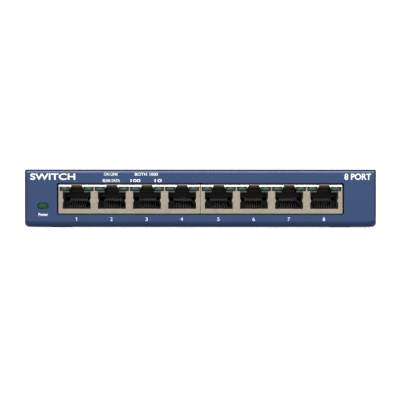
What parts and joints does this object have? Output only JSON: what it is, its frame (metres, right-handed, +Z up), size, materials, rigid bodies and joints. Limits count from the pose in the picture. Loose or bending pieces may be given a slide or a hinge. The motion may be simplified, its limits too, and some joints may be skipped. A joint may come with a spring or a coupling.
{
  "type": "desktop network switch",
  "caption": "Low steel-cased desktop network switch with a row of shielded modular sockets in the front panel, a power light, and a barrel power inlet at the rear.",
  "frame": {"origin": "on the supporting surface, under the middle of the case", "axes": "+X along the row of ports, to the right of someone facing them; the ports face -Y; +Z up"},
  "size_m": [0.158, 0.105, 0.0263],
  "materials": {
    "powder_coat": "blue powder coat, satin, with a fine orange-peel texture",
    "tinned_shield": "tin-plated sheet, satin, faint rolling lines and stamping marks",
    "jack_plastic": "black glass-filled nylon, matt",
    "contact_gold": "gold-plated phosphor bronze, bright",
    "port_led_lens": "dark green diffusing lens, unlit",
    "power_light_lens": "dark green light pipe, unlit",
    "foot_rubber": "black rubber, matt",
    "circuit_board": "green solder mask on glass laminate",
    "fastener_steel": "zinc-plated steel",
    "bare_aluminium": "natural aluminium",
    "component_black": "black moulded epoxy"
  },
  "bodies": {
    "case": {"bottom_tray": "powder_coat", "top_cover": "powder_coat", "cover_screw_left": "fastener_steel", "cover_screw_right": "fastener_steel", "main_circuit_board": "circuit_board", "board_screw_1": "fastener_steel", "board_screw_2": "fastener_steel", "board_screw_3": "fastener_steel", "board_screw_4": "fastener_steel", "board_standoff_1": "fastener_steel", "board_standoff_2": "fastener_steel", "board_standoff_3": "fastener_steel", "board_standoff_4": "fastener_steel", "jack_shield_left": "tinned_shield", "jack_shield_right": "tinned_shield", "jack_housing_left": "jack_plastic", "jack_housing_right": "jack_plastic", "port_led_1_left": "port_led_lens", "port_led_1_right": "port_led_lens", "port_led_2_left": "port_led_lens", "port_led_2_right": "port_led_lens", "port_led_3_left": "port_led_lens", "port_led_3_right": "port_led_lens", "port_led_4_left": "port_led_lens", "port_led_4_right": "port_led_lens", "port_led_5_left": "port_led_lens", "port_led_5_right": "port_led_lens", "port_led_6_left": "port_led_lens", "port_led_6_right": "port_led_lens", "port_led_7_left": "port_led_lens", "port_led_7_right": "port_led_lens", "port_led_8_left": "port_led_lens", "port_led_8_right": "port_led_lens", "power_light_pipe": "power_light_lens", "power_led_chip": "component_black", "dc_jack_housing": "jack_plastic", "dc_jack_centre_pin": "fastener_steel", "switch_chip": "component_black", "heat_sink": "bare_aluminium", "transformer_1": "component_black", "transformer_2": "component_black", "transformer_3": "component_black", "transformer_4": "component_black", "capacitor_1": "bare_aluminium", "capacitor_2": "bare_aluminium", "power_inductor": "component_black", "crystal": "fastener_steel", "foot_front_left": "foot_rubber", "foot_front_right": "foot_rubber", "foot_rear_left": "foot_rubber", "foot_rear_right": "foot_rubber"},
    "contacts_1": {"port_contacts_1": "contact_gold"},
    "contacts_2": {"port_contacts_2": "contact_gold"},
    "contacts_3": {"port_contacts_3": "contact_gold"},
    "contacts_4": {"port_contacts_4": "contact_gold"},
    "contacts_5": {"port_contacts_5": "contact_gold"},
    "contacts_6": {"port_contacts_6": "contact_gold"},
    "contacts_7": {"port_contacts_7": "contact_gold"},
    "contacts_8": {"port_contacts_8": "contact_gold"},
    "power_spring": {"dc_jack_spring": "contact_gold"}
  },
  "joints": [
    {"name": "contacts_1_flex", "type": "hinge", "parent": "case", "child": "contacts_1", "pos_m": [-0.05565, -0.05045, 0.0086], "axis": [-1, 0, 0], "range_deg": [0, 8], "stiffness_Nm_per_rad": 0.4},
    {"name": "contacts_2_flex", "type": "hinge", "parent": "case", "child": "contacts_2", "pos_m": [-0.03985, -0.05045, 0.0086], "axis": [-1, 0, 0], "range_deg": [0, 8], "stiffness_Nm_per_rad": 0.4},
    {"name": "contacts_3_flex", "type": "hinge", "parent": "case", "child": "contacts_3", "pos_m": [-0.02405, -0.05045, 0.0086], "axis": [-1, 0, 0], "range_deg": [0, 8], "stiffness_Nm_per_rad": 0.4},
    {"name": "contacts_4_flex", "type": "hinge", "parent": "case", "child": "contacts_4", "pos_m": [-0.00825, -0.05045, 0.0086], "axis": [-1, 0, 0], "range_deg": [0, 8], "stiffness_Nm_per_rad": 0.4},
    {"name": "contacts_5_flex", "type": "hinge", "parent": "case", "child": "contacts_5", "pos_m": [0.00825, -0.05045, 0.0086], "axis": [-1, 0, 0], "range_deg": [0, 8], "stiffness_Nm_per_rad": 0.4},
    {"name": "contacts_6_flex", "type": "hinge", "parent": "case", "child": "contacts_6", "pos_m": [0.02405, -0.05045, 0.0086], "axis": [-1, 0, 0], "range_deg": [0, 8], "stiffness_Nm_per_rad": 0.4},
    {"name": "contacts_7_flex", "type": "hinge", "parent": "case", "child": "contacts_7", "pos_m": [0.03985, -0.05045, 0.0086], "axis": [-1, 0, 0], "range_deg": [0, 8], "stiffness_Nm_per_rad": 0.4},
    {"name": "contacts_8_flex", "type": "hinge", "parent": "case", "child": "contacts_8", "pos_m": [0.05565, -0.05045, 0.0086], "axis": [-1, 0, 0], "range_deg": [0, 8], "stiffness_Nm_per_rad": 0.4},
    {"name": "power_spring_flex", "type": "hinge", "parent": "case", "child": "power_spring", "pos_m": [0.044, 0.0434, 0.0081], "axis": [-1, 0, 0], "range_deg": [0, 8], "stiffness_Nm_per_rad": 0.15}
  ]
}
